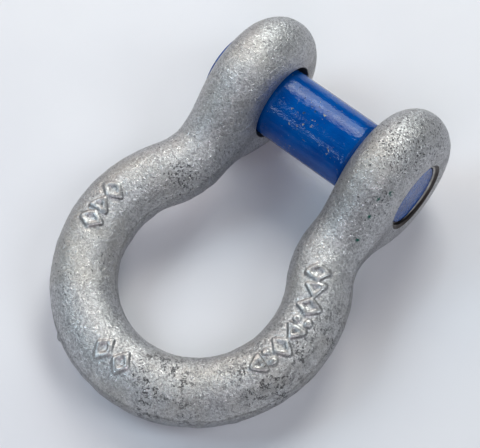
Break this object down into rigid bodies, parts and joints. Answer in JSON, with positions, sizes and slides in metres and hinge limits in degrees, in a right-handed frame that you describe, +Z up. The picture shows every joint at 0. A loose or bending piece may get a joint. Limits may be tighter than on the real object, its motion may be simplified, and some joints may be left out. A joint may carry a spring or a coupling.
{
  "type": "bow shackle",
  "caption": "Forged galvanised bow shackle with a flush, key-driven screw pin that unscrews from a tapped ear and pulls out sideways.",
  "frame": {"origin": "bottom centre of the bounding box, on the surface that the shackle lies on", "axes": "+X along the pin from its key end towards the tapped ear, +Y from the bow towards the ears, +Z up"},
  "size_m": [0.0898, 0.1254, 0.0468],
  "materials": {
    "galvanised_steel": "hot-dip galvanised forging, mottled and slightly pitted",
    "blue_paint": "satin blue paint with small chips and scratches"
  },
  "bodies": {
    "bow": {"forged_bow": "galvanised_steel"},
    "pin": {"screw_pin": "blue_paint"}
  },
  "joints": [
    {"name": "pin_withdraw", "type": "slide", "parent": "bow", "child": "pin", "axis": [-1, 0, 0], "range_m": [0, 0.074]}
  ]
}
